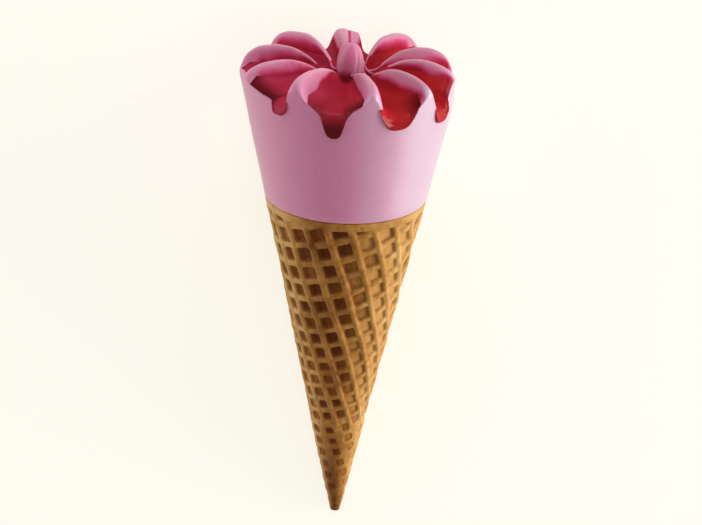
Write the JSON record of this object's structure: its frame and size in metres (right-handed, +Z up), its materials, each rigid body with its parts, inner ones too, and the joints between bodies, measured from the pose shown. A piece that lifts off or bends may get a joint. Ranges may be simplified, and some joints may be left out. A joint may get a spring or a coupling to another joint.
{
  "type": "ice cream cone",
  "caption": "Rolled waffle cone with strawberry ice cream piped as a flower and red fruit sauce, lying on its side.",
  "frame": {"origin": "on the surface that the cone lies on, below the middle of the object's box", "axes": "+Y along the lying cone from the waffle's tip to the flower, +Z up, +X to the right seen from the tip"},
  "size_m": [0.0596, 0.1412, 0.0585],
  "materials": {
    "waffle": "baked wafer, matt, browned in the pockets",
    "ice_cream": "frozen strawberry ice cream, soft satin",
    "sauce": "wet, glossy fruit sauce"
  },
  "bodies": {
    "root": {"waffle_cone": "waffle", "ice_cream": "ice_cream", "red_sauce": "sauce"}
  },
  "joints": []
}
